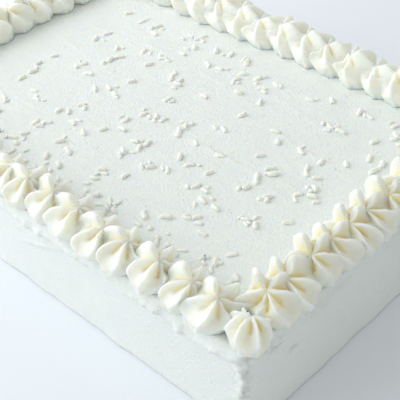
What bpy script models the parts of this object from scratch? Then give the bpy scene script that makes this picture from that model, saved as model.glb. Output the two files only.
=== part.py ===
"""Frosted sheet cake with a piped border and scattered sprinkles.

The cake is one slab of frosted sponge. Four rows of piped icing stars lie along
its top edges, and white sugar sprinkles are stuck in the frosting between them.

Metres, +Z up. The origin is the middle of the cake's flat underside, +X runs
along the long side and +Y along the short side.
"""
import bmesh
import bpy
import math
import random
from mathutils import Matrix, Vector

# Driving dimensions.
CAKE_LENGTH = 0.340
CAKE_WIDTH = 0.236
CAKE_HEIGHT = 0.060
CORNER_ROUND = 0.006
TOP_ROUND = 0.0025
CORNER_FACETS = 4
TOP_FACETS = 2
GAP = 0.0003

# Points of a fused row that are closer than this are one point.
WELD = 0.00005

# The piped stars. They stand in rows a little inside the edge and reach over it.
# Each corner star sits a little past its corner.
STAR_RADIUS = 0.0178
STAR_HEIGHT = 0.0180
STAR_INSET = 0.0125
STEPS_FRONT = 16
STEPS_RIGHT = 13
STEPS_BACK = 17
STEPS_LEFT = 11
PLACE_SHIFT = 0.14
PLACE_SWAY = 0.001
ROW_OUT = 0.0035
CORNER_SHIFT = 0.005
CORNER_OUT = 0.0025
DRAWN = 0.005
DRAWN_FROM = 0.4
LARGEST_REACH = 1.25 * STAR_RADIUS
CUT_BELOW = 0.01
CUT_ABOVE = 0.04

# How a star's petals differ, as parts of its radius, its height or the petal spacing.
PETALS = 6
CORNER_PETALS = 8
CORNER_SIZE = 0.72
LONG_HEADING = math.radians(42.0)
SHORT_HEADING = math.radians(31.0)
SIZES = (0.95, 1.06)
HEIGHTS = (0.94, 1.07)
REACHES = (0.92, 1.08)
CRESTS = (0.98, 1.12)
TWISTS = (-0.10, 0.40)
LEANS = (-0.12, 0.12)
LEAN_CURVE = 1.4
PETAL_SHIFT = 0.12
COVERED_SHORTER = 0.22
COVERED_LOWER = 0.32
LAID_LONGER = 0.16
INNER_TURN = math.radians(170.0)
INNER_CURVE = 3

# These differ with the way a row is piped: 1 lies over the star before, -1 over the next.
EAR_TURN = {1: math.radians(240.0), -1: math.radians(226.0)}
EAR_CURVE = {1: 3, -1: 2}
EAR_HIGHER = {1: 0.20, -1: 0.36}
INNER_LOWER = {1: 0.22, -1: 0.0}

# The leaf shape of the petals that hang outward.
LEAF_TURN = math.radians(-18.0)
PINCH = 0.50
PINCH_START = 0.45
PINCH_CURVE = 1.3

# The rings a star is lofted through, from its tip at 0 to its foot at 1.
STAR_LEVELS = (0.10, 0.32, 0.56, 0.80, 1.0)
SHOULDER = 0.55
CREST_FULLNESS = 0.52
LAID_FULLER = 0.18
EAR_FULLER = 0.10
FOOT_START = 0.62
FOOT_TUCK = 0.24
FOOT_CURVE = 1.2
DISH_REACH = 0.84
DISH_TUCK = 0.18
DISH_HEIGHT = 0.93
DISH_CURVE = 0.9
DISH_LIMIT = 0.86
TIP_LEVEL = 0.96

# The sprinkles, the largest of those on the cake.
SPRINKLE_COUNT = 130
SPRINKLE_LENGTH = 0.0070
SPRINKLE_RADIUS = 0.0013
SPRINKLE_SIDES = 5
SPRINKLE_APART = 0.8 * SPRINKLE_LENGTH
SPRINKLE_LENGTHS = (0.8, 1.0)
SPRINKLE_GIRTHS = (0.85, 1.1)
SPRINKLE_FIELD_INSET = 0.033
SPRINKLE_FIELD_SHIFT = 0.009
SPRINKLE_SINK = 0.0004
SPOT_COLUMNS = 9
SPOT_ROWS = 5
SPOT_SHARE = (0.1, 0.9)

ICING_COLOUR = (0.86, 0.87, 0.82, 1.0)
BORDER_COLOUR = (0.90, 0.89, 0.82, 1.0)

TURN = 2.0 * math.pi


def clear_scene():
    for old in list(bpy.data.objects):
        bpy.data.objects.remove(old)


def new_collection(name):
    group = bpy.data.collections.new(name)
    bpy.context.scene.collection.children.link(group)
    return group


def icing(name, colour, roughness):
    material = bpy.data.materials.new(name)
    material.use_nodes = True
    shader = material.node_tree.nodes["Principled BSDF"]
    shader.inputs["Base Color"].default_value = colour
    shader.inputs["Roughness"].default_value = roughness
    shader.inputs["Metallic"].default_value = 0.0
    return material


def object_from(shape, name, group, material):
    """Turn a bmesh into an object of a collection."""
    bmesh.ops.recalc_face_normals(shape, faces=shape.faces)
    mesh = bpy.data.meshes.new(name)
    shape.to_mesh(mesh)
    shape.free()
    mesh.materials.append(material)
    piece = bpy.data.objects.new(name, mesh)
    group.objects.link(piece)
    return piece


def apply_modifiers(piece):
    """Keep the evaluated shape as the object's own mesh."""
    bpy.context.view_layer.update()
    seen = piece.evaluated_get(bpy.context.evaluated_depsgraph_get())
    mesh = bpy.data.meshes.new_from_object(seen)
    piece.modifiers.clear()
    piece.data = mesh


def fuse(piece, others):
    """Join a piece with all the objects of a collection, which are then removed."""
    join = piece.modifiers.new("fuse", "BOOLEAN")
    join.operation = "UNION"
    join.operand_type = "COLLECTION"
    join.collection = others
    join.solver = "MANIFOLD"
    apply_modifiers(piece)
    for other in list(others.objects):
        bpy.data.objects.remove(other)
    bpy.data.collections.remove(others)


def clean_skin(piece):
    """Weld slivers and keep the outer skin alone, so that no air is shut in."""
    shape = bmesh.new()
    shape.from_mesh(piece.data)
    bmesh.ops.remove_doubles(shape, verts=shape.verts, dist=WELD)
    bmesh.ops.dissolve_degenerate(shape, edges=shape.edges, dist=WELD)
    unseen, skins = set(shape.verts), []
    while unseen:
        skin, edge_of_skin = set(), [unseen.pop()]
        while edge_of_skin:
            point = edge_of_skin.pop()
            skin.add(point)
            near = {edge.other_vert(point) for edge in point.link_edges} & unseen
            unseen -= near
            edge_of_skin.extend(near)
        skins.append(skin)
    skins.sort(key=len)
    for pocket in skins[:-1]:
        bmesh.ops.delete(shape, geom=list(pocket), context="VERTS")
    shape.to_mesh(piece.data)
    shape.free()


# ---------------------------------------------------------------- piped stars

def star_plan(seed, petals, heading, onward, outward, way, size=1.0):
    """The petals of one star: direction, reach, crest height, fullness, lean and pinch.

    Petals that point onward are short and low, because the next star covers them.
    Those that point back are long and lie over the star before. The one that points
    back and inward stands up highest, like an ear. The way is 1 where the cake is on
    the left as the row is piped, and -1 where it is on the right. Towards the foot the
    petals are pinched together round the hollow that faces outward, which makes it a
    leaf shape. Corner stars have more petals, with no ear and no leaf.
    """
    in_row = petals == PETALS
    draw = random.Random(seed)
    radius = size * STAR_RADIUS * draw.uniform(*SIZES)
    height = STAR_HEIGHT * draw.uniform(*HEIGHTS)
    start = heading + draw.uniform(-PETAL_SHIFT, PETAL_SHIFT) * TURN / petals
    twist = draw.uniform(*TWISTS)
    plan = []
    for index in range(petals):
        angle = start + TURN * (index + draw.uniform(-PETAL_SHIFT, PETAL_SHIFT)) / petals
        forward = math.cos(angle - onward)
        covered, laid = max(0.0, forward) ** 2, max(0.0, -forward) ** 2
        ear = in_row * max(0.0, math.cos(angle - outward - way * EAR_TURN[way])) ** EAR_CURVE[way]
        reach = radius * draw.uniform(*REACHES) * (1.0 - COVERED_SHORTER * covered + LAID_LONGER * laid)
        inner = max(0.0, math.cos(angle - outward - way * INNER_TURN)) ** INNER_CURVE
        crest = height * draw.uniform(*CRESTS)
        crest *= (1.0 - COVERED_LOWER * covered) * (1.0 + EAR_HIGHER[way] * ear)
        crest *= 1.0 - INNER_LOWER[way] * inner
        full = CREST_FULLNESS - LAID_FULLER * laid - EAR_FULLER * ear
        lean = (twist + draw.uniform(*LEANS)) * PETALS / petals
        off_leaf = angle - outward - way * LEAF_TURN
        pinch = -PINCH * in_row * math.sin(off_leaf) * (0.5 + 0.5 * math.cos(off_leaf))
        plan.append((angle, reach, crest, full, lean, pinch))
    return radius, height, plan


def star_points(plan, level):
    """One ring of a star, from its tip at level 0 down to its foot at level 1.

    The crests follow a full, square-shouldered curve that tucks in at the foot.
    The dished valleys between them follow a rounder and lower one.
    """
    radius, height, petals = plan
    swing = math.sin(0.25 * TURN * level)
    drop = max(0.0, math.cos(0.25 * TURN * level))
    foot = max(0.0, (level - FOOT_START) / (1.0 - FOOT_START)) ** 2
    closing = max(0.0, (level - PINCH_START) / (1.0 - PINCH_START)) ** PINCH_CURVE
    ring = []
    for index, (angle, reach, crest, full, lean, pinch) in enumerate(petals):
        before, before_reach, before_crest, _, before_lean, before_pinch = petals[index - 1]
        before += before_pinch * closing - (TURN if index == 0 else 0.0)
        angle += pinch * closing
        out = reach * swing ** SHOULDER * (1.0 - FOOT_TUCK * foot ** FOOT_CURVE)
        bulge = 1.0 + (crest / height - 1.0) * math.sin(math.pi * swing ** SHOULDER)
        up = height * drop ** full * bulge
        inner = 0.5 * (reach + before_reach) * (DISH_REACH * swing ** DISH_CURVE - DISH_TUCK * foot)
        inner = min(inner, DISH_LIMIT * out)
        low = min(0.5 * DISH_HEIGHT * (crest + before_crest), TIP_LEVEL * height) * drop ** DISH_CURVE
        valley_lean = 0.5 * (before_lean + lean)
        valley_angle = 0.5 * (before + angle) + valley_lean * (inner / radius) ** LEAN_CURVE
        crest_angle = angle + lean * (out / radius) ** LEAN_CURVE
        ring.append(Vector((inner * math.cos(valley_angle), inner * math.sin(valley_angle), low)))
        ring.append(Vector((out * math.cos(crest_angle), out * math.sin(crest_angle), up)))
    return ring


def star_shape(plan, place, drawn):
    """Loft a star through its rings, and close it at the tip and under the foot.

    Its upper part is drawn forward, as the nozzle leaves it.
    """
    shape = bmesh.new()
    rings = []
    for level in STAR_LEVELS:
        rings.append([shape.verts.new(point) for point in star_points(plan, level)])
    tip = shape.verts.new(Vector((0.0, 0.0, TIP_LEVEL * plan[1])))
    foot = shape.verts.new(Vector((0.0, 0.0, 0.0)))
    count = len(rings[0])
    for here in range(count):
        after = (here + 1) % count
        shape.faces.new((rings[0][here], rings[0][after], tip))
        shape.faces.new((rings[-1][after], rings[-1][here], foot))
        for upper, lower in zip(rings, rings[1:]):
            shape.faces.new((upper[after], upper[here], lower[here], lower[after]))
    for point in shape.verts:
        point.co += place + drawn * (point.co.z / plan[1] - DRAWN_FROM)
    bmesh.ops.triangulate(shape, faces=shape.faces)
    return shape


def row_of_stars(name, seed, start, end, steps, heading, corners, way, group, material):
    """Pipe a row of overlapping stars from one corner to the next and fuse it.

    The cake is on the left of the row. Each star lies over the one before where the
    way is 1, and over the one after where it is -1. A row with corners has a fuller
    star at each end, turned to the corner. One without leaves both ends free.
    """
    draw = random.Random(seed)
    forward = (end - start).normalized()
    sideways = Vector((forward.y, -forward.x, 0.0))
    run = end - start + CORNER_SHIFT * forward
    onward = math.atan2(forward.y, forward.x)
    outward = onward - 0.25 * TURN
    first, last = (0, steps) if corners else (1, steps - 1)
    loose = new_collection(name + "_stars")
    pieces = []
    for step in range(first, last + 1):
        at_corner = step in (0, steps)
        shift = 0.0 if at_corner else draw.uniform(-PLACE_SHIFT, PLACE_SHIFT)
        sway = 0.0 if at_corner else draw.uniform(-PLACE_SWAY, PLACE_SWAY)
        place = start + run * ((step + shift) / steps)
        if at_corner:
            diagonal = math.atan2(place.y, place.x)
            next_star = onward if step == 0 else onward + 0.25 * TURN
            place += CORNER_SHIFT * sideways * (step == 0)
            place += CORNER_OUT * Vector((math.copysign(1.0, place.x), math.copysign(1.0, place.y), 0.0))
            plan = star_plan(seed + step, CORNER_PETALS, diagonal, next_star, diagonal, 1, CORNER_SIZE)
            shape = star_shape(plan, place, 0.0 * forward)
        else:
            place += (ROW_OUT + sway) * sideways
            piped_to = onward if way > 0 else onward + 0.5 * TURN
            plan = star_plan(seed + step, PETALS, heading, piped_to, outward, way)
            shape = star_shape(plan, place, way * DRAWN * forward)
        pieces.append(object_from(shape, name, group if not pieces else loose, material))
    fuse(pieces[0], loose)
    clean_skin(pieces[0])
    return pieces[0]


def end_cutter(name, x_range, y_range, cutters):
    """A box that trims a row where it meets the row round the corner."""
    low = Vector((x_range[0], y_range[0], CAKE_HEIGHT - CUT_BELOW))
    high = Vector((x_range[1], y_range[1], CAKE_HEIGHT + CUT_ABOVE))
    shape = bmesh.new()
    bmesh.ops.create_cube(shape, size=1.0)
    size = Matrix.Diagonal((*(high - low), 1.0))
    bmesh.ops.transform(shape, matrix=Matrix.Translation(0.5 * (low + high)) @ size, verts=shape.verts)
    mesh = bpy.data.meshes.new(name)
    shape.to_mesh(mesh)
    shape.free()
    cutter = bpy.data.objects.new(name, mesh)
    cutter.hide_render = True
    cutter.display_type = "WIRE"
    cutters.objects.link(cutter)
    return cutter


def trim(piece, cutter):
    cut = piece.modifiers.new("trim_" + cutter.name, "BOOLEAN")
    cut.operation = "DIFFERENCE"
    cut.object = cutter
    cut.solver = "MANIFOLD"


def piped_border(group, cutters, material):
    """Four rows of stars. The long rows hold the corner stars."""
    x_line = 0.5 * CAKE_LENGTH - STAR_INSET
    y_line = 0.5 * CAKE_WIDTH - STAR_INSET
    floor = CAKE_HEIGHT + GAP
    corner = {
        (sx, sy): Vector((sx * x_line, sy * y_line, floor)) for sx in (-1, 1) for sy in (-1, 1)
    }
    front = row_of_stars("border_front", 100, corner[-1, -1], corner[1, -1], STEPS_FRONT,
                         LONG_HEADING, True, 1, group, material)
    right = row_of_stars("border_right", 300, corner[1, -1], corner[1, 1], STEPS_RIGHT,
                         SHORT_HEADING, False, -1, group, material)
    back = row_of_stars("border_back", 200, corner[1, 1], corner[-1, 1], STEPS_BACK,
                        LONG_HEADING, True, 1, group, material)
    left = row_of_stars("border_left", 400, corner[-1, 1], corner[-1, -1], STEPS_LEFT,
                        SHORT_HEADING, False, 1, group, material)
    beyond = x_line + 2.0 * LARGEST_REACH
    short_rows = ((1, right, STEPS_RIGHT, front, back), (-1, left, STEPS_LEFT, back, front))
    for side, row, steps, first, last in short_rows:
        half_step = 0.5 * (2.0 * y_line + CORNER_SHIFT) / steps
        beside = sorted((side * (x_line - LARGEST_REACH), side * beyond))
        for ends, long_row, seam in ((-side, first, y_line - half_step),
                                     (side, last, y_line + CORNER_SHIFT - half_step)):
            past_seam = sorted((ends * (seam - 0.5 * GAP), ends * (seam + 2.0 * LARGEST_REACH)))
            before_seam = sorted((ends * (seam + 0.5 * GAP), ends * (seam - LARGEST_REACH)))
            row_end = end_cutter(f"{row.name}_end_{long_row.name}", (-beyond, beyond), past_seam, cutters)
            long_end = end_cutter(f"{long_row.name}_end_{row.name}", beside, before_seam, cutters)
            trim(row, row_end)
            trim(long_row, long_end)


# ----------------------------------------------------------- cake and sprinkles

def frosted_slab(group, material):
    """The sponge under its coat of frosting, with soft edges and a flat underside."""
    bpy.ops.mesh.primitive_cube_add(size=1.0, location=(0.0, 0.0, 0.5 * CAKE_HEIGHT))
    slab = bpy.context.object
    slab.name = "cake"
    slab.scale = (CAKE_LENGTH, CAKE_WIDTH, CAKE_HEIGHT)
    bpy.ops.object.transform_apply(location=True, scale=True)
    for owner in list(slab.users_collection):
        owner.objects.unlink(slab)
    group.objects.link(slab)
    slab.data.materials.append(material)
    shape = bmesh.new()
    shape.from_mesh(slab.data)
    upright = [edge for edge in shape.edges if abs(edge.verts[0].co.z - edge.verts[1].co.z) > GAP]
    bmesh.ops.bevel(shape, geom=upright, offset=CORNER_ROUND, segments=CORNER_FACETS,
                    profile=0.5, affect="EDGES")
    rim = [edge for edge in shape.edges if min(point.co.z for point in edge.verts) > CAKE_HEIGHT - GAP]
    bmesh.ops.bevel(shape, geom=rim, offset=TOP_ROUND, segments=TOP_FACETS,
                    profile=0.5, affect="EDGES")
    shape.to_mesh(slab.data)
    shape.free()
    return slab


def sprinkle_places():
    """Where the sprinkles lie: pinches of a few on a loose grid of spots."""
    draw = random.Random(7)
    half_x = 0.5 * CAKE_LENGTH - SPRINKLE_FIELD_INSET - SPRINKLE_FIELD_SHIFT
    half_y = 0.5 * CAKE_WIDTH - SPRINKLE_FIELD_INSET
    spots = [(column, row) for column in range(SPOT_COLUMNS) for row in range(SPOT_ROWS)]
    draw.shuffle(spots)
    places = []
    while len(places) < SPRINKLE_COUNT:
        column, row = spots[len(places) // 2 % len(spots)]
        x = half_x * (2.0 * (column + draw.uniform(*SPOT_SHARE)) / SPOT_COLUMNS - 1.0)
        x += SPRINKLE_FIELD_SHIFT
        y = half_y * (2.0 * (row + draw.uniform(*SPOT_SHARE)) / SPOT_ROWS - 1.0)
        if all(math.hypot(x - other[0], y - other[1]) > SPRINKLE_APART for other in places):
            heading = draw.uniform(0.0, TURN)
            length, girth = draw.uniform(*SPRINKLE_LENGTHS), draw.uniform(*SPRINKLE_GIRTHS)
            places.append((x, y, heading, length, girth))
    return places


def sprinkle(index, place, group, material):
    """A short sugar rod that lies half sunk in the frosting."""
    x, y, heading, length, girth = place
    radius = SPRINKLE_RADIUS * girth
    shape = bmesh.new()
    bmesh.ops.create_cone(shape, cap_ends=True, segments=SPRINKLE_SIDES, radius1=radius, radius2=radius,
                          depth=SPRINKLE_LENGTH * length)
    lie_down = Matrix.Rotation(0.25 * TURN, 4, "Y")
    lift = CAKE_HEIGHT + radius - SPRINKLE_SINK
    pose = Matrix.Translation((x, y, lift)) @ Matrix.Rotation(heading, 4, "Z") @ lie_down
    bmesh.ops.transform(shape, matrix=pose, verts=shape.verts)
    return object_from(shape, f"sprinkle_{index}", group, material)


def sprinkled_cake(group, material):
    slab = frosted_slab(group, material)
    loose = new_collection("sprinkles")
    for index, place in enumerate(sprinkle_places()):
        sprinkle(index, place, loose, material)
    fuse(slab, loose)


clear_scene()
sheet_cake = new_collection("sheet_cake")
row_cutters = new_collection("row_cutters")
frosting = icing("frosting", ICING_COLOUR, 0.55)
border_icing = icing("border_icing", BORDER_COLOUR, 0.50)
sprinkled_cake(sheet_cake, frosting)
piped_border(sheet_cake, row_cutters, border_icing)
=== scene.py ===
"""A frosted sheet cake with a piped border and white sprinkles, dressed for its studio picture."""
import math
import random
from collections import namedtuple

import bpy
import numpy as np
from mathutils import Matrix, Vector, noise


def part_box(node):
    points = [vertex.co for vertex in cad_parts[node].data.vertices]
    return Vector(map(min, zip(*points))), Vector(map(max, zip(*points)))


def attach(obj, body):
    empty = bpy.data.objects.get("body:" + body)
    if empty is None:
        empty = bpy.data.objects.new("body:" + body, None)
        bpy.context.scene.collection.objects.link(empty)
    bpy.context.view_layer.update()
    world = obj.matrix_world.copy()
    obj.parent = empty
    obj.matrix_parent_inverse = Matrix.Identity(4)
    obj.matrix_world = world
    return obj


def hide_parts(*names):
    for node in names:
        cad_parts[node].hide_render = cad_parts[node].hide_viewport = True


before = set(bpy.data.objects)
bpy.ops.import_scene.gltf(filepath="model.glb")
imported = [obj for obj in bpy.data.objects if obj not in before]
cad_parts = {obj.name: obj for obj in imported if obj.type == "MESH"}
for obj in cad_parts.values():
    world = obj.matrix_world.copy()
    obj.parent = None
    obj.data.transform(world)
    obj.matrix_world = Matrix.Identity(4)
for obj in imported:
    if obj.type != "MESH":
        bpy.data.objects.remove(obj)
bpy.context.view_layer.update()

# ------------------------------------------------------------------ The camera
# The cake is seen from above one corner, about 0.65 m from its middle, through a
# fairly long lens. The near corner points at the lower edge of the picture.
CAMERA_PLACE = (0.3707, -0.3398, 0.4060)
CAMERA_TILT, CAMERA_ROLL, CAMERA_HEADING = 50.25, 2.41, 43.38
CAMERA_LENS = 86.84
SENSOR_WIDTH = 36.0
NEAREST_SEEN = 0.01

camera = bpy.data.objects.new("camera", bpy.data.cameras.new("camera"))
bpy.context.scene.collection.objects.link(camera)
bpy.context.scene.camera = camera
camera.location = CAMERA_PLACE
camera.rotation_euler = [math.radians(turn) for turn in (CAMERA_TILT, CAMERA_ROLL, CAMERA_HEADING)]
camera.data.lens = CAMERA_LENS
camera.data.sensor_width = SENSOR_WIDTH
camera.data.clip_start = NEAREST_SEEN

# --------------------------------------------------------- The coat of frosting
# The sponge is wholly hidden under white buttercream, about 4 mm thick. It is spread
# with a palette knife, which leaves low waves, thin seams between strokes, open pores,
# rough upright corners and an uneven lip where the border was pressed on.
(low_x, low_y, _), (high_x, high_y, _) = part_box("cake")
CAKE_TOP = 0.060
HALF_LONG = 0.5 * (high_x - low_x)
HALF_SHORT = 0.5 * (high_y - low_y)
CORNER_ROUND = 0.006
TOP_ROUND = 0.0025
COAT_STEP = 0.00127
SAME = 1e-7
NOT_ZERO = 1e-9

# A seam is its two places on a face, its angle, length, height and bend. Each face has
# random ones, and three faces have marks of their own.
COAT_SEED = 31
TOP_SEAMS, TOP_SPREAD, TOP_STROKES = 26, (0.13, 0.085), (0.03, 0.11)
SIDE_SEAMS, SIDE_SPREAD, SIDE_STROKES = 14, 0.03, (0.04, 0.12)
SEAM_ANGLE, SEAM_BEND = 0.22, 1.2
SEAM_HEIGHTS, SEAM_WIDTH = (0.00012, 0.00045), 0.0009
SHELF_SHARE, SHELF_EDGE, SHELF_FADE, SHELF_END = 0.45, 0.0006, 0.012, 40
TOP_FOLD = (0.053, -0.009, 0.02, 0.060, 0.0009, 0.4)
FRONT_FOLD = (0.014, 0.009, 0.38, 0.055, 0.0010, 0.6)
DRAG_MARKS = [(-0.0946, 0.0186, 0.05, 0.013, -0.0022, 0.0),
              (-0.0803, 0.0061, -0.04, 0.012, -0.0020, 0.0)]

# Heights of the waves, the rough corners, the lip under the border and the foot.
TOP_WAVE, SIDE_WAVE, FINE_WAVE = 0.00030, 0.00040, 0.00016
ROUGH_REACH, ROUGH_LUMPS, ROUGH_SINK = 0.0050, 0.0048, 0.0006
LIP_LEVEL, LIP_WANDER, LIP_WIDTH = 0.0530, 0.0025, 0.0023
LIP_OUT, LIP_FRONT, LIP_GOBS = 0.0007, 0.0017, 0.0034
FOOT_WIDTH, FOOT_ROUGH = 0.004, 0.0010

# How shiny the cream is, and how far red, green and blue light travel in it.
CREAM_SHINE = 0.35
CREAM_TRAVEL = (1.0, 0.80, 0.50)


def node_group(name, inputs, outputs):
    """An empty shader group with its sockets: inputs as name: value, outputs as names."""
    group = bpy.data.node_groups.new(name, "ShaderNodeTree")
    for socket, value in inputs.items():
        made = group.interface.new_socket(socket, in_out="INPUT", socket_type="NodeSocketFloat")
        made.default_value = value
    for socket in outputs:
        group.interface.new_socket(socket, in_out="OUTPUT", socket_type="NodeSocketFloat")
    return group, group.nodes.new("NodeGroupInput"), group.nodes.new("NodeGroupOutput")


def cream_grain():
    """Whipped cream's skin: open pores of mixed size over a fine grain. Its height is the
    grain less the pores, and its mottle is a slow change of tone."""
    group, given, result = node_group(
        "cream_grain", {"Pore Scale": 420.0, "Pore Amount": 0.5, "Grain Amount": 0.3},
        ("Height", "Mottle"))
    nodes, links = group.nodes, group.links
    place = nodes.new("ShaderNodeTexCoord").outputs["Object"]

    def clouds(scale, detail, roughness=0.5):
        made = nodes.new("ShaderNodeTexNoise")
        made.inputs["Scale"].default_value = scale
        made.inputs["Detail"].default_value = detail
        made.inputs["Roughness"].default_value = roughness
        links.new(place, made.inputs["Vector"])
        return made.outputs["Fac"]

    def soft_step(value, low, high):
        made = nodes.new("ShaderNodeMapRange")
        made.interpolation_type = "SMOOTHSTEP"
        made.inputs["From Min"].default_value = low
        made.inputs["From Max"].default_value = high
        links.new(value, made.inputs["Value"])
        return made.outputs["Result"]

    def combined(operation, first, second):
        made = nodes.new("ShaderNodeMath")
        made.operation = operation
        links.new(first, made.inputs[0])
        links.new(second, made.inputs[1])
        return made.outputs["Value"]

    cells = nodes.new("ShaderNodeTexVoronoi")
    cells.feature = "F1"
    links.new(place, cells.inputs["Vector"])
    links.new(given.outputs["Pore Scale"], cells.inputs["Scale"])
    hole = nodes.new("ShaderNodeMath")
    hole.operation = "SUBTRACT"
    hole.inputs[0].default_value = 1.0
    links.new(soft_step(cells.outputs["Distance"], low=0.05, high=0.32), hole.inputs[1])
    open_here = soft_step(clouds(scale=95.0, detail=3.0), low=0.50, high=0.66)
    pores = combined("MULTIPLY", combined("MULTIPLY", hole.outputs["Value"], open_here),
                     given.outputs["Pore Amount"])
    fine = clouds(scale=620.0, detail=4.0, roughness=0.62)
    grain = combined("MULTIPLY", fine, given.outputs["Grain Amount"])
    links.new(combined("SUBTRACT", grain, pores), result.inputs["Height"])
    links.new(clouds(scale=28.0, detail=3.0), result.inputs["Mottle"])
    return group


CREAM_GRAIN = cream_grain()


def buttercream(name, pale, deep, roughness, pores, grain, bump, scatter, glow):
    """Whipped butter icing: light sinks in and comes back warmer from the folds."""
    material = bpy.data.materials.new(name)
    material.use_nodes = True
    nodes, links = material.node_tree.nodes, material.node_tree.links
    shader = nodes["Principled BSDF"]
    skin = nodes.new("ShaderNodeGroup")
    skin.node_tree = CREAM_GRAIN
    skin.inputs["Pore Amount"].default_value = pores
    skin.inputs["Grain Amount"].default_value = grain
    tone = nodes.new("ShaderNodeMix")
    tone.data_type = "RGBA"
    tone.inputs["A"].default_value = (*pale, 1.0)
    tone.inputs["B"].default_value = (*deep, 1.0)
    links.new(skin.outputs["Mottle"], tone.inputs["Factor"])
    links.new(tone.outputs["Result"], shader.inputs["Base Color"])
    relief = nodes.new("ShaderNodeBump")
    relief.inputs["Distance"].default_value = bump
    links.new(skin.outputs["Height"], relief.inputs["Height"])
    links.new(relief.outputs["Normal"], shader.inputs["Normal"])
    shader.inputs["Roughness"].default_value = roughness
    shader.inputs["Specular IOR Level"].default_value = CREAM_SHINE
    shader.inputs["Subsurface Weight"].default_value = glow
    shader.inputs["Subsurface Radius"].default_value = CREAM_TRAVEL
    shader.inputs["Subsurface Scale"].default_value = scatter
    return material


def piece_from(name, points, faces, material):
    """A piece of one material from its points and faces."""
    mesh = bpy.data.meshes.new(name)
    mesh.from_pydata([tuple(point) for point in points], [], faces)
    mesh.materials.append(material)
    mesh.validate()
    piece = bpy.data.objects.new(name, mesh)
    bpy.context.scene.collection.objects.link(piece)
    return piece


def box_grid():
    """Points and faces of a finely divided box. The faces share their edges, and the
    underside is one face."""
    counts = [max(2, round(size / COAT_STEP)) for size in (2 * HALF_LONG, 2 * HALF_SHORT, CAKE_TOP)]
    known, points, faces = {}, [], []

    def point(i, j, k):
        key = (i, j, k)
        if key not in known:
            known[key] = len(points)
            points.append((HALF_LONG * (2.0 * i / counts[0] - 1.0),
                           HALF_SHORT * (2.0 * j / counts[1] - 1.0),
                           CAKE_TOP * k / counts[2]))
        return known[key]

    for axis in range(3):
        a, b = (axis + 1) % 3, (axis + 2) % 3
        for end in (counts[axis],) if axis == 2 else (0, counts[axis]):
            for u in range(counts[a]):
                for v in range(counts[b]):
                    corners = []
                    for du, dv in ((0, 0), (1, 0), (1, 1), (0, 1)):
                        spot = [0, 0, 0]
                        spot[axis], spot[a], spot[b] = end, u + du, v + dv
                        corners.append(point(*spot))
                    faces.append(corners if end else corners[::-1])
    wide, deep = counts[:2]
    underside = [point(0, j, 0) for j in range(deep)]
    underside += [point(i, deep, 0) for i in range(wide)]
    underside += [point(wide, j, 0) for j in range(deep, 0, -1)]
    underside += [point(i, 0, 0) for i in range(wide, 0, -1)]
    faces.append(underside)
    return np.array(points), faces


def rounded(points):
    """Round the box's upright corners, then its top rim. Also gives each outward way."""
    inner = np.array([HALF_LONG - CORNER_ROUND, HALF_SHORT - CORNER_ROUND])
    flat = points[:, :2]
    core = np.clip(flat, -inner, inner)
    off = flat - core
    far = np.maximum(np.abs(off[:, 0]), np.abs(off[:, 1]))
    length = np.maximum(np.hypot(off[:, 0], off[:, 1]), NOT_ZERO)
    way = off / length[:, None]
    corner = (np.abs(off[:, 0]) > SAME) & (np.abs(off[:, 1]) > SAME)
    flat = np.where(corner[:, None], core + way * far[:, None], flat)
    side = far >= CORNER_ROUND - SAME
    inset = CORNER_ROUND - far
    rim = (inset < TOP_ROUND) & (points[:, 2] > CAKE_TOP - TOP_ROUND)
    dx = inset - TOP_ROUND
    dz = points[:, 2] - (CAKE_TOP - TOP_ROUND)
    size = np.maximum(np.hypot(dx, dz), NOT_ZERO)
    shrink = TOP_ROUND / size
    moved = flat - way * (dx * shrink - dx)[:, None]
    shaped = np.column_stack([flat, points[:, 2]])
    shaped[rim, :2] = moved[rim]
    shaped[rim, 2] = (CAKE_TOP - TOP_ROUND + dz * shrink)[rim]
    out = np.zeros_like(points)
    out[side, :2] = way[side]
    top = points[:, 2] > CAKE_TOP - SAME
    out[top & ~side] = (0.0, 0.0, 1.0)
    out[rim, :2] = way[rim] * (-dx / size)[rim, None]
    out[rim, 2] = (dz / size)[rim]
    return shaped, out


def knife_seams(draw, count, spread, strokes):
    """Thin raised lines where one stroke of the knife ends against another."""
    seams = []
    for _ in range(count):
        x = draw.uniform(-spread[0], spread[0])
        y = draw.uniform(-spread[1], spread[1])
        angle = draw.uniform(-SEAM_ANGLE, SEAM_ANGLE)
        seams.append((x, y, angle, draw.uniform(*strokes), draw.uniform(*SEAM_HEIGHTS),
                      draw.uniform(-SEAM_BEND, SEAM_BEND)))
    return seams


def seam_height(u, v, seams):
    """How far the seams raise a surface at u, v. Each is a soft line that bends and fades,
    with a low shelf on one side."""
    raised = np.zeros(len(u))
    for x, y, angle, length, height, bend in seams:
        along = (u - x) * math.cos(angle) + (v - y) * math.sin(angle)
        across = -(u - x) * math.sin(angle) + (v - y) * math.cos(angle) - bend * along ** 2
        fade = np.clip(1.0 - (2.0 * along / length) ** 2, 0.0, 1.0)
        line = np.exp(-(across / SEAM_WIDTH) ** 2)
        onto_shelf = 1.0 + np.exp(-np.clip(across / SHELF_EDGE, -SHELF_END, SHELF_END))
        shelf = SHELF_SHARE / onto_shelf * np.exp(-np.clip(across, 0, None) / SHELF_FADE)
        raised += height * fade * (line + shelf)
    return raised


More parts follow.
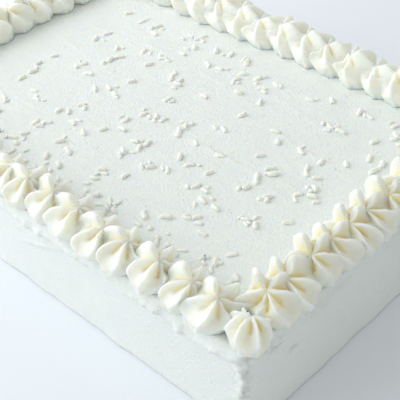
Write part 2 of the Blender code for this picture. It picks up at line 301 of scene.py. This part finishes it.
def all_seams(shaped, out):
    """How far the seams raise each point of the coat, on the top and on the four sides."""
    draw = random.Random(COAT_SEED)
    raised = np.zeros(len(shaped))
    top = out[:, 2] > 0.5
    seams = knife_seams(draw, TOP_SEAMS, TOP_SPREAD, TOP_STROKES) + [TOP_FOLD]
    raised[top] += seam_height(shaped[top, 0], shaped[top, 1], seams)
    own_marks = {"front": [FRONT_FOLD], "right": DRAG_MARKS}
    for name, run, sign in (("front", 0, -1), ("back", 0, 1), ("left", 1, -1), ("right", 1, 1)):
        side = out[:, 1 - run] * sign > 0.7
        seams = knife_seams(draw, SIDE_SEAMS, ((HALF_LONG, HALF_SHORT)[run], SIDE_SPREAD), SIDE_STROKES)
        seams += own_marks.get(name, [])
        raised[side] += seam_height(shaped[side, run], shaped[side, 2] - 0.5 * CAKE_TOP, seams)
    return raised


def waves(place, way):
    """How far the knife's waves lift one point of the coat. On the sides, the rough
    corners, the lip and the foot are added. A noise's factors are waves for each metre."""
    x, y, z = place
    broad = noise.fractal(Vector((x * 22, y * 30, z * 30)), 1.0, 2.0, 2)
    if way[2] > 0.5:
        fine = noise.fractal(Vector((x * 90, y * 240, 3.0)), 0.9, 2.1, 3)
        return TOP_WAVE * broad + FINE_WAVE * fine
    run = x if abs(way[1]) > abs(way[0]) else y
    fine = noise.fractal(Vector((run * 110, z * 330, way[0] * 2 + way[1] * 5)), 0.9, 2.1, 3)
    lift = SIDE_WAVE * broad + FINE_WAVE * fine
    off_corner = math.hypot(HALF_LONG - abs(x), HALF_SHORT - abs(y))
    near_corner = math.exp(-(off_corner / ROUGH_REACH) ** 2)
    lumps = noise.fractal(Vector((x * 130, y * 130, z * 190)), 0.8, 2.0, 3)
    lift += near_corner * (ROUGH_LUMPS * lumps - ROUGH_SINK)
    gobs = noise.fractal(Vector((run * 95, z * 160, 9.0)), 0.8, 2.0, 3)
    lip_level = LIP_LEVEL + LIP_WANDER * noise.noise(Vector((run * 40, 1.0, 2.0)))
    under_border = math.exp(-((z - lip_level) / LIP_WIDTH) ** 2)
    lift += under_border * (LIP_OUT + LIP_FRONT * (way[1] < -0.5) + LIP_GOBS * max(0.0, gobs))
    at_foot = math.exp(-(z / FOOT_WIDTH) ** 2)
    return lift + at_foot * FOOT_ROUGH * noise.noise(Vector((run * 60, 5.0, way[0])))


def spread_coat():
    """Points and faces of the coat: a rounded box with the marks of the knife."""
    points, faces = box_grid()
    shaped, out = rounded(points)
    raised = all_seams(shaped, out)
    for index, (place, way) in enumerate(zip(shaped, out)):
        if way.any():
            raised[index] += waves(place, way)
    shaped = shaped + out * raised[:, None]
    shaped[points[:, 2] < SAME, 2] = 0.0
    return shaped, faces


frosting = buttercream("frosting", pale=(0.88, 0.915, 0.885), deep=(0.86, 0.89, 0.855), roughness=0.6,
                       pores=0.4, grain=0.7, bump=0.0011, scatter=0.0012, glow=0.35)
coat = piece_from("frosting_coat", *spread_coat(), frosting)
coat.data.shade_smooth()
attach(coat, "root")
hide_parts("cake")

# ------------------------------------------------------------- The piped border
# Stars of the same buttercream from a six-slotted nozzle, with small ones of eight petals
# at the corners. Each lies over the star before it, in the right row over the one after,
# and the soft icing of all of them has run together into one border.
TURN = 2.0 * math.pi
STAR_RADIUS = 0.0178
STAR_HEIGHT = 0.0180
STAR_INSET = 0.0125
BORDER_SINK = 0.0002
STEPS_FRONT, STEPS_RIGHT, STEPS_BACK, STEPS_LEFT = 16, 13, 17, 11
LONG_HEADING, SHORT_HEADING = math.radians(42), math.radians(31)
STEP_SHIFT, STEP_SWAY = 0.14, 0.001
DRAWN, DRAWN_LEVEL = 0.0050, 0.4
ROW_OUT = 0.0035
CORNER_SIZE = 0.72
CORNER_SHIFT = 0.005
CORNER_OUT = 0.0025

# How the petals of a star differ. A covered petal lies under one neighbour and a laid one
# over the other. The ear is the laid petal that stands up highest, the inner petals face
# the middle of the cake, and the outer ones close up into a leaf at their foot. The tables
# are by way: 1 in a row that lies over the star before, -1 over the one after.
PETALS, CORNER_PETALS = 6, 8
PETAL_SHIFT, PETAL_TWIST, TWIST_SPREAD = 0.12, (-0.10, 0.40), 0.12
RADIUS_RANGE, HEIGHT_RANGE = (0.95, 1.06), (0.94, 1.07)
REACH_RANGE, CREST_RANGE = (0.92, 1.08), (0.98, 1.12)
COVERED_SHORTER, COVERED_LOWER, LAID_LONGER = 0.22, 0.32, 0.16
EAR_TURN = {1: math.radians(240), -1: math.radians(226)}
EAR_HIGHER = {1: 0.20, -1: 0.36}
EAR_CURVE = {1: 3, -1: 2}
INNER_TURN = math.radians(170)
INNER_LOWER = {1: 0.22, -1: 0.0}
LEAF_TURN = math.radians(-18)
PINCH, PINCH_FROM = 0.50, 0.45
FULL, FULL_LAID, FULL_EAR = 0.52, 0.18, 0.10
RIM_THICK, RIM_WAVE, RIM_LAID, RIM_EAR = 0.0007, 0.0002, 0.0003, 0.0013

# The form of a petal's rim and of the scooped hollow beside it, down to its slit. Levels
# go from 0 at a star's tip to 1 at its foot.
STAR_RINGS = 20
RIM_TURNS = (-1.0, -0.35, 0.35, 1.0)
FLUTE_STEPS = (0.0, 0.09, 0.24, 0.43, 0.64, 0.84)
SPREAD_CURVE = 0.55
TIP_LEVEL = 0.12
FOOT_FROM, FOOT_IN, FOOT_THICKER, FOOT_SHALLOWER = 0.62, 0.24, 0.0009, 0.18
WIDEST_RIM = 0.44
DISH_REACH, DISH_LEAST = 0.84, 0.10
DISH_START, DISH_SPAN = 0.0015, 0.0045
FLOOR_SHARE, FLOOR_MOST = 0.93, 0.96
WIDEST_HALF, MOUTH_LEAST = 1.2, 0.0002
NARROW_START, NARROW_SPAN = 0.0008, 0.0030
WALL_PULL, WALL_WIDTH, WALL_CURVE = 0.62, 0.70, 1.6
SLIT_FROM, SLIT_SPAN, SLIT_CURVE = 0.12, 0.38, 1.5
SLIT_DEPTH, SLIT_HALF = 0.0022, 0.0009
TIP_SHARE = 0.96

# How deep a fold must be for full painted shade, and how much painted shade, darker and yellower, the open
# and narrow hollows, slits, foot and tip get.
SUNK_DEPTH, SUNK_OPEN, SUNK_NARROW, SUNK_SLIT, SUNK_FOOT, SUNK_TIP = 0.003, 0.12, 0.78, 0.4, 0.10, 0.3

# How the soft icing sags, dents, nicks and tears: heights, and waves for each metre. The
# seed is the noise's own, and keeps them the same in each run.
SAG_SEED = 2
FIRM_FOOT = 0.004
SAG, SAG_WAVES = 0.0014, 75.0
DENT, DENT_WAVES = 0.0004, 210.0
NICK, NICK_WAVES = 0.00025, 520.0
TEAR, TEAR_WAVES, TEAR_EDGES = 0.018, 60.0, 430.0
TEAR_MORE, TEAR_LESS, TEAR_FROM, TEAR_MOST = 0.12, 0.05, 0.8, 0.3
SETTLE_ROUNDS, SETTLE_SHARE = 2, 0.4

Petal = namedtuple("Petal", "angle reach crest full lean rim pinch")
Rim = namedtuple("Rim", "angle out up thin lean")


def turned(x, y, angle):
    """A place turned about the upright axis."""
    return x * math.cos(angle) - y * math.sin(angle), x * math.sin(angle) + y * math.cos(angle)


def star_plan(seed, petals, heading, onward, outward, way, size=1.0):
    """The radius, height and petals of one star. It is laid towards onward, and its outer
    side faces outward."""
    draw = random.Random(seed)
    radius = size * STAR_RADIUS * draw.uniform(*RADIUS_RANGE)
    height = STAR_HEIGHT * draw.uniform(*HEIGHT_RANGE)
    start = heading + draw.uniform(-PETAL_SHIFT, PETAL_SHIFT) * TURN / petals
    twist = draw.uniform(*PETAL_TWIST)
    in_row = petals == PETALS
    plan = []
    for index in range(petals):
        angle = start + TURN * (index + draw.uniform(-PETAL_SHIFT, PETAL_SHIFT)) / petals
        forward = math.cos(angle - onward)
        covered, laid = max(0.0, forward) ** 2, max(0.0, -forward) ** 2
        reach = radius * draw.uniform(*REACH_RANGE) * (1.0 - COVERED_SHORTER * covered + LAID_LONGER * laid)
        crest = height * draw.uniform(*CREST_RANGE) * (1.0 - COVERED_LOWER * covered)
        ear = max(0.0, math.cos(angle - outward - way * EAR_TURN[way])) ** EAR_CURVE[way] * in_row
        inner = max(0.0, math.cos(angle - outward - way * INNER_TURN)) ** 3
        crest *= (1.0 + EAR_HIGHER[way] * ear) * (1.0 - INNER_LOWER[way] * inner)
        lean = (twist + draw.uniform(-TWIST_SPREAD, TWIST_SPREAD)) * PETALS / petals
        rim = RIM_THICK + RIM_WAVE * math.sin(5.0 * angle) + RIM_LAID * laid + RIM_EAR * ear
        off_leaf = angle - outward - way * LEAF_TURN
        pinch = -PINCH * math.sin(off_leaf) * (0.5 + 0.5 * math.cos(off_leaf)) * in_row
        plan.append(Petal(angle, reach, crest, FULL - FULL_LAID * laid - FULL_EAR * ear, lean, rim, pinch))
    return radius, height, plan


def shares_at(level):
    """A star's spread, its height and its foot at a level, each as a share of the whole."""
    spread = math.sin(0.25 * TURN * level)
    drop = max(0.0, math.cos(0.25 * TURN * level))
    foot = max(0.0, (level - FOOT_FROM) / (1.0 - FOOT_FROM)) ** 2
    return spread, drop, foot


def petal_rims(plan, level):
    """Each petal's rim at a level: its direction, its place out and up, how thin, its lean."""
    _, height, petals = plan
    spread, drop, foot = shares_at(level)
    closing = max(0.0, (level - PINCH_FROM) / (1.0 - PINCH_FROM)) ** 1.3
    risen = math.sin(math.pi * min(1.0, spread ** SPREAD_CURVE)) * min(1.0, level / TIP_LEVEL)
    rims = []
    for index, petal in enumerate(petals):
        before, after = petals[index - 1], petals[(index + 1) % len(petals)]
        gap = min((after.angle - petal.angle) % TURN, (petal.angle - before.angle) % TURN)
        out = petal.reach * spread ** SPREAD_CURVE * (1.0 - FOOT_IN * foot ** 1.2)
        bulge = 1.0 + (petal.crest / height - 1.0) * risen
        thin = min(petal.rim + FOOT_THICKER * foot, WIDEST_RIM * out * math.sin(0.5 * gap))
        rims.append(Rim(petal.angle + petal.pinch * closing, out, height * drop ** petal.full * bulge,
                        thin, petal.lean))
    return rims


def hollow(height, pair, rim, other, level):
    """The scooped hollow between a rim and the other one, the next of the star: down one
    wall, over the floor and up the other. Gives each point, its share of painted shade and its lean."""
    spread, drop, foot = shares_at(level)
    slit = max(0.0, math.sin(math.pi * min(1.0, max(0.0, (level - SLIT_FROM) / SLIT_SPAN)))) ** SLIT_CURVE
    middle = 0.5 * (rim.angle + other.angle)
    half = min(0.5 * (other.angle - rim.angle), WIDEST_HALF)
    mean_out = 0.5 * (rim.out + other.out)
    mean_reach = 0.5 * (pair[0].reach + pair[1].reach)
    mean_crest = 0.5 * (pair[0].crest + pair[1].crest)
    depth = mean_out - mean_reach * (DISH_REACH * spread ** 0.9 - FOOT_SHALLOWER * foot)
    started = min(1.0, max(0.05, (mean_out - DISH_START) / DISH_SPAN))
    depth = max(depth, DISH_LEAST * mean_out) * started
    inner = mean_out - depth
    floor_level = min(FLOOR_SHARE * mean_crest, FLOOR_MOST * height) * drop ** 0.9
    mouth = max(MOUTH_LEAST, inner * math.sin(half) - 0.5 * (rim.thin + other.thin))
    narrow = min(1.0, max(0.0, 1.0 - (mouth - NARROW_START) / NARROW_SPAN))
    flat = Vector((math.cos(middle), math.sin(middle)))
    side_way = Vector((-flat.y, flat.x))
    bottom = inner * flat
    found = []
    for wall, edge in ((-1, rim), (1, other)):
        way = Vector((math.cos(edge.angle), math.sin(edge.angle)))
        across = Vector((-way.y, way.x))
        lip = (edge.out - edge.thin) * way - wall * edge.thin * across
        pull = max(0.0, edge.out - edge.thin - inner)
        first = lip - WALL_PULL * pull * way
        second = bottom + wall * WALL_WIDTH * mouth * side_way
        for share in FLUTE_STEPS[:0:-1] if wall < 0 else FLUTE_STEPS:
            rest = 1.0 - share
            spot = (rest ** 3 * bottom + 3 * rest ** 2 * share * second
                    + 3 * rest * share ** 2 * first + share ** 3 * lip)
            dip = SLIT_DEPTH * slit * math.exp(-((spot - bottom).length / SLIT_HALF) ** 2)
            up = floor_level - dip + (edge.up - floor_level) * share ** WALL_CURVE
            # Painted shade: deeper and narrower hollows, the slit and the foot are painted darker and
            # yellower.
            hidden = rest ** 2 * min(1.0, depth / SUNK_DEPTH)
            shade_share = min(1.0, hidden * (SUNK_OPEN + SUNK_NARROW * narrow) + SUNK_SLIT * dip / SLIT_DEPTH
                       + SUNK_FOOT * foot)
            lean = 0.5 * (rim.lean + other.lean) + wall * 0.5 * share * (other.lean - rim.lean)
            found.append(((spot.x, spot.y, up), shade_share, lean))
    return found


def star_ring(plan, level):
    """One ring of a star at a level: round each petal's rim, then through the hollow after
    it. The whole ring is then twisted. Also gives each point's share of painted shade."""
    radius, height, petals = plan
    rims = petal_rims(plan, level)
    found = []
    for index, rim in enumerate(rims):
        after = (index + 1) % len(rims)
        other = rims[after]._replace(angle=rim.angle + (rims[after].angle - rim.angle) % TURN)
        for turn in RIM_TURNS:
            along = rim.out - rim.thin * (1.0 - math.cos(0.25 * TURN * turn))
            side = rim.thin * math.sin(0.25 * TURN * turn)
            found.append(((*turned(along, side, rim.angle), rim.up), 0.0, rim.lean))
        found += hollow(height, (petals[index], petals[after]), rim, other, level)
    ring = []
    for (x, y, z), _, lean in found:
        ring.append((*turned(x, y, lean * (math.hypot(x, y) / radius) ** 1.4), z))
    return ring, [shade_share for _, shade_share, _ in found]


def soften(points, base_level, height):
    """Let the soft icing sag and dent, with small nicks and torn crests here and there."""
    for point in points:
        spot = Vector(point)
        rise = min(1.0, max(0.0, (point[2] - base_level) / FIRM_FOOT))
        sag = noise.noise_vector(spot * SAG_WAVES) * SAG + noise.noise_vector(spot * DENT_WAVES) * DENT
        nick = noise.noise_vector(spot * NICK_WAVES) * NICK
        point += rise * np.array(sag + nick)
        torn = (max(0.0, noise.noise(spot * TEAR_WAVES) + TEAR_MORE)
                * max(0.0, noise.noise(spot * TEAR_EDGES) - TEAR_LESS))
        point[2] += TEAR * torn * min(TEAR_MOST, max(0.0, (point[2] - base_level) / height - TEAR_FROM))


def star(plan, place, drawn):
    """Points, faces and shares of painted shade of one star, lofted through its rings and closed. Its
    upper part is drawn on, and its rings settle a little at the end."""
    _, height, _ = plan
    points, shade_share, faces = [], [], []
    for step in range(1, STAR_RINGS + 1):
        ring, depth = star_ring(plan, step / STAR_RINGS)
        points += ring
        shade_share += depth
    count = len(points) // STAR_RINGS
    for ring in range(STAR_RINGS - 1):
        for here in range(count):
            after = (here + 1) % count
            upper, lower = ring * count, (ring + 1) * count
            faces.append((upper + after, upper + here, lower + here, lower + after))
    tip, base = len(points), len(points) + 1
    last = (STAR_RINGS - 1) * count
    points += [(0.0, 0.0, TIP_SHARE * height), (0.0, 0.0, 0.0)]
    # The tip gets a little painted shade and the hidden base gets full painted shade.
    shade_share += [SUNK_TIP, 1.0]
    for here in range(count):
        after = (here + 1) % count
        faces.append((here, after, tip))
        faces.append((last + after, last + here, base))
    points = np.array(points)
    points[:, :2] += np.outer(points[:, 2] / height - DRAWN_LEVEL, drawn[:2])
    points += np.array(place)
    soften(points, place[2], height)
    for _ in range(SETTLE_ROUNDS):
        rings = points[:-2].reshape(STAR_RINGS, count, 3)
        beside = 0.5 * (np.roll(rings, 1, axis=1) + np.roll(rings, -1, axis=1))
        points[:-2] = ((1.0 - SETTLE_SHARE) * rings + SETTLE_SHARE * beside).reshape(-1, 3)
    return points, faces, shade_share


def paint_fold_shade(material, shade_colour):
    """Painted shade: the base colour is mixed towards a darker yellow in the folds, by each point's share.
    """
    nodes, links = material.node_tree.nodes, material.node_tree.links
    colour = material.node_tree.nodes["Principled BSDF"].inputs["Base Color"]
    plain = colour.links[0].from_socket
    shade_share = nodes.new("ShaderNodeAttribute")
    shade_share.attribute_name = "shade_share"
    mix = nodes.new("ShaderNodeMix")
    mix.data_type = "RGBA"
    links.new(shade_share.outputs["Fac"], mix.inputs["Factor"])
    links.new(plain, mix.inputs["A"])
    mix.inputs["B"].default_value = (*shade_colour, 1.0)
    links.new(mix.outputs["Result"], colour)


border_icing = buttercream("border_icing", pale=(0.875, 0.89, 0.84), deep=(0.86, 0.87, 0.81), roughness=0.50,
                           pores=0.15, grain=0.25, bump=0.0003, scatter=0.0065, glow=1.0)
# The folds of the border get painted shade, darker and yellower than the icing.
paint_fold_shade(border_icing, shade_colour=(0.87, 0.79, 0.51))


def row_of_stars(seed, start, end, steps, heading, corners, way, shade_strength):
    """Pipe a row from one corner of the cake to the next, with the cake on the left. Its
    stars lie over the one before where way is 1, and over the one after where it is -1."""
    draw = random.Random(seed)
    forward = (end - start).normalized()
    sideways = Vector((forward.y, -forward.x, 0.0))
    run = end - start + CORNER_SHIFT * forward
    onward = math.atan2(forward.y, forward.x)
    outward = onward - 0.25 * TURN
    stars = []
    for step in range(0, steps + 1) if corners else range(1, steps):
        at_corner = step in (0, steps)
        shift = 0.0 if at_corner else draw.uniform(-STEP_SHIFT, STEP_SHIFT)
        sway = 0.0 if at_corner else draw.uniform(-STEP_SWAY, STEP_SWAY)
        place = start + run * ((step + shift) / steps)
        if at_corner:
            diagonal = math.atan2(place.y, place.x)
            next_star = onward if step == 0 else onward + 0.25 * TURN
            plan = star_plan(seed + step, CORNER_PETALS, diagonal, next_star, diagonal, 1, CORNER_SIZE)
            place += CORNER_SHIFT * sideways * (step == 0)
            place += CORNER_OUT * Vector((math.copysign(1.0, place.x), math.copysign(1.0, place.y), 0.0))
            drawn = 0.0 * forward
        else:
            place += (ROW_OUT + sway) * sideways
            laid_way = onward if way > 0 else onward + 0.5 * TURN
            plan = star_plan(seed + step, PETALS, heading, laid_way, outward, way)
            drawn = way * DRAWN * forward
        points, faces, shade_share = star(plan, place, drawn)
        piece = piece_from("star", points, faces, border_icing)
        # Painted shade in the folds, scaled by the row's strength and stored on each point.
        painted_shade_amounts = [min(1.0, shade_strength * share) for share in shade_share]
        piece.data.attributes.new("shade_share", "FLOAT", "POINT").data.foreach_set("value", painted_shade_amounts)
        stars.append(piece)
    return stars


def fused(pieces):
    """Join closed pieces into the first one with a Boolean union."""
    first, others = pieces[0], bpy.data.collections.new("loose")
    for other in pieces[1:]:
        bpy.context.scene.collection.objects.unlink(other)
        others.objects.link(other)
    bpy.context.scene.collection.children.link(others)
    join = first.modifiers.new("fuse", "BOOLEAN")
    join.operation = "UNION"
    join.operand_type = "COLLECTION"
    join.collection = others
    join.solver = "MANIFOLD"
    bpy.context.view_layer.update()
    seen = first.evaluated_get(bpy.context.evaluated_depsgraph_get())
    mesh = bpy.data.meshes.new_from_object(seen)
    first.modifiers.clear()
    first.data = mesh
    for other in pieces[1:]:
        bpy.data.objects.remove(other)
    bpy.data.collections.remove(others)
    return first


x_line = HALF_LONG - STAR_INSET
y_line = HALF_SHORT - STAR_INSET
border_foot = CAKE_TOP - BORDER_SINK
front_left, front_right = Vector((-x_line, -y_line, border_foot)), Vector((x_line, -y_line, border_foot))
back_left, back_right = Vector((-x_line, y_line, border_foot)), Vector((x_line, y_line, border_foot))
noise.seed_set(SAG_SEED)
# Each row gets painted fold shade of its own strength: most in the right row, which lies in shade, and least
# in the back row.
stars = row_of_stars(seed=100, start=front_left, end=front_right, steps=STEPS_FRONT,
                     heading=LONG_HEADING, corners=True, way=1, shade_strength=1.0)
stars += row_of_stars(seed=300, start=front_right, end=back_right, steps=STEPS_RIGHT,
                      heading=SHORT_HEADING, corners=False, way=-1, shade_strength=2.2)
stars += row_of_stars(seed=200, start=back_right, end=back_left, steps=STEPS_BACK,
                      heading=LONG_HEADING, corners=True, way=1, shade_strength=0.6)
stars += row_of_stars(seed=400, start=back_left, end=front_left, steps=STEPS_LEFT,
                      heading=SHORT_HEADING, corners=False, way=1, shade_strength=1.0)
border = fused(stars)
border.name = "piped_border"
border.data.shade_smooth()
border.data.set_sharp_from_angle(angle=math.radians(60))
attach(border, "root")
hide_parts("border_front", "border_right", "border_back", "border_left")

# ----------------------------------------------------------------- The sprinkles
# White sugar rods, snapped to uneven lengths and dropped in pinches on the soft frosting,
# which holds their undersides. Broken ends of the same sugar lie among them, and more of
# both have rolled against the front row in a drift.
ROD_COUNT, CRUMB_COUNT, DRIFT_COUNT = 130, 110, 60
ROD_SEED, CRUMB_SEED, DRIFT_SEED = 7, 8, 9
SPRINKLE_LENGTH = 0.0070
SPRINKLE_RADIUS = 0.0013
SPRINKLE_SINK = 0.0004
FIELD_INSET = 0.033
FIELD_SHIFT = 0.009
FIELD_COLUMNS, FIELD_ROWS = 9, 5
IN_ITS_SPOT = (0.1, 0.9)
LEAST_APART = 0.8 * SPRINKLE_LENGTH
CRUMB_AWAY = (0.003, 0.006)
DRIFT_START, DRIFT_INSET = -0.11, (0.028, 0.040)
ROD_SIZES = (0.8, 1.0), (0.85, 1.1)
CRUMB_SIZES = (0.35, 0.75), (0.6, 0.95)
DRIFT_SIZES = (0.4, 0.9), (0.65, 1.0)
ROD_RINGS = (-1.0, -0.96, -0.82, -0.45, 0.0, 0.45, 0.82, 0.96, 1.0)
ROD_SIDES = 10
ROD_BEND, ROD_TILT, ROD_FLAT, ROD_LUMPS = 0.12, (-0.10, 0.16), (0.75, 1.0), 0.22
END_FULL, END_BLUNT = 7, 0.12


def lying(draw, x, y, sizes):
    """A rod at x, y: its place, heading, and length and thickness as shares of a whole one."""
    lengths, thicknesses = sizes
    return x, y, draw.uniform(0.0, TURN), draw.uniform(*lengths), draw.uniform(*thicknesses)


def rods():
    """Where the rods lie: pinches of two or three on a loose grid of spots."""
    draw = random.Random(ROD_SEED)
    half_x = HALF_LONG - FIELD_INSET - FIELD_SHIFT
    half_y = HALF_SHORT - FIELD_INSET
    spots = [(column, row) for column in range(FIELD_COLUMNS) for row in range(FIELD_ROWS)]
    draw.shuffle(spots)
    places = []
    while len(places) < ROD_COUNT:
        column, row = spots[len(places) // 2 % len(spots)]
        x = FIELD_SHIFT + half_x * (2.0 * (column + draw.uniform(*IN_ITS_SPOT)) / FIELD_COLUMNS - 1.0)
        y = half_y * (2.0 * (row + draw.uniform(*IN_ITS_SPOT)) / FIELD_ROWS - 1.0)
        if all(math.hypot(x - other[0], y - other[1]) > LEAST_APART for other in places):
            places.append(lying(draw, x, y, ROD_SIZES))
    return places


def crumbs(rods_there):
    """Small broken ends, each within a few millimetres of a rod."""
    draw = random.Random(CRUMB_SEED)
    places = []
    for _ in range(CRUMB_COUNT):
        x, y = draw.choice(rods_there)[:2]
        angle = draw.uniform(0.0, TURN)
        away = draw.uniform(*CRUMB_AWAY)
        places.append(lying(draw, x + away * math.cos(angle), y + away * math.sin(angle), CRUMB_SIZES))
    return places


def drift():
    """Rods and broken ends that rolled up against the front row."""
    draw = random.Random(DRIFT_SEED)
    places = []
    for _ in range(DRIFT_COUNT):
        x = draw.uniform(DRIFT_START, HALF_LONG - FIELD_INSET)
        y = draw.uniform(*DRIFT_INSET) - HALF_SHORT
        places.append(lying(draw, x, y, DRIFT_SIZES))
    return places


def rod_points(place, seed):
    """A bent, lumpy rod with softly rounded ends, lying along its heading."""
    x, y, heading, length, thickness = place
    draw = random.Random(seed)
    half, radius = 0.5 * SPRINKLE_LENGTH * length, SPRINKLE_RADIUS * thickness
    bend = draw.uniform(-ROD_BEND, ROD_BEND)
    tilt = draw.uniform(*ROD_TILT)
    flat = draw.uniform(*ROD_FLAT)
    points = []
    for along in ROD_RINGS:
        swell = radius * max(0.0, 1.0 - abs(along) ** END_FULL) ** 0.5 + END_BLUNT * radius
        for side in range(ROD_SIDES):
            turn = TURN * side / ROD_SIDES
            spot = Vector((seed * 2.3 + math.cos(turn), 2.2 * along, math.sin(turn)))
            lump = 1.0 + ROD_LUMPS * noise.noise(spot)
            points.append((half * along, swell * lump * math.cos(turn) + 2.0 * bend * half * along ** 2,
                           swell * lump * flat * math.sin(turn) + tilt * half * along))
    points = np.array(points)
    lie = np.column_stack([*turned(points[:, 0], points[:, 1], heading), points[:, 2]])
    return lie + np.array((x, y, CAKE_TOP + radius * flat - SPRINKLE_SINK))


def scattered(places):
    """Points and faces of all the rods: tubes of rings, closed by a flat face at each end."""
    points, faces = [], []
    for seed, place in enumerate(places):
        first = len(points)
        last = first + (len(ROD_RINGS) - 1) * ROD_SIDES
        points += list(rod_points(place, seed))
        for ring in range(first, last, ROD_SIDES):
            for side in range(ROD_SIDES):
                here, after = ring + side, ring + (side + 1) % ROD_SIDES
                faces.append((here, here + ROD_SIDES, after + ROD_SIDES, after))
        faces.append([first + side for side in range(ROD_SIDES)])
        faces.append([last + ROD_SIDES - 1 - side for side in range(ROD_SIDES)])
    return points, faces


sugar = buttercream("sprinkle_sugar", pale=(0.93, 0.93, 0.875), deep=(0.91, 0.905, 0.84), roughness=0.5,
                    pores=0.1, grain=0.5, bump=0.0002, scatter=0.0007, glow=0.8)
whole_rods = rods()
sprinkles = piece_from("sprinkles", *scattered(whole_rods + crumbs(whole_rods) + drift()), sugar)
sprinkles.data.shade_smooth()
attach(sprinkles, "root")
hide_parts("cake")

# -------------------------------------------------------- The floor and the light
# A pale seamless floor, a broad soft light from the left of the picture, a weak one beyond
# the far corner, and even pale light from all round.
FLOOR_HALF = 15.0
FLOOR_GAP = 0.0004
FLOOR_COLOUR = (0.85, 0.88, 0.93, 1.0)
FLOOR_ROUGHNESS = 0.7
ROUND_COLOUR = (0.945, 0.97, 0.945, 1.0)
ROUND_STRENGTH = 0.605

floor_mesh = bpy.data.meshes.new("floor")
floor_corners = [(FLOOR_HALF * x, FLOOR_HALF * y, 0.0) for x, y in ((-1, -1), (1, -1), (1, 1), (-1, 1))]
floor_mesh.from_pydata(floor_corners, [], [(0, 1, 2, 3)])
floor = bpy.data.objects.new("floor", floor_mesh)
floor.location.z = -FLOOR_GAP
bpy.context.scene.collection.objects.link(floor)
floor_finish = bpy.data.materials.new("floor")
floor_finish.use_nodes = True
floor_shader = floor_finish.node_tree.nodes["Principled BSDF"]
floor_shader.inputs["Base Color"].default_value = FLOOR_COLOUR
floor_shader.inputs["Roughness"].default_value = FLOOR_ROUGHNESS
floor_mesh.materials.append(floor_finish)

scene = bpy.context.scene
scene.view_settings.view_transform = "Standard"
scene.world = bpy.data.worlds.new("all_round")
scene.world.use_nodes = True
light_from_round = scene.world.node_tree.nodes["Background"]
light_from_round.inputs["Color"].default_value = ROUND_COLOUR
light_from_round.inputs["Strength"].default_value = ROUND_STRENGTH


def soft_light(name, place, aim, size, power, colour):
    """A wide rectangular lamp that shines from a place towards another."""
    lamp = bpy.data.objects.new(name, bpy.data.lights.new(name, "AREA"))
    lamp.data.shape = "RECTANGLE"
    lamp.data.size, lamp.data.size_y = size
    lamp.data.energy = power
    lamp.data.color = colour
    lamp.location = place
    lamp.rotation_euler = (Vector(aim) - Vector(place)).to_track_quat("-Z", "Y").to_euler()
    scene.collection.objects.link(lamp)


soft_light("broad_light", place=(-0.90, -0.70, 0.75), aim=(0.0, 0.0, 0.05), size=(1.7, 1.4),
           power=16.4, colour=(0.925, 0.96, 1.0))
soft_light("far_light", place=(-0.32, 0.20, 0.44), aim=(-0.12, 0.06, 0.06), size=(0.6, 0.5),
           power=0.48, colour=(0.95, 0.975, 1.0))
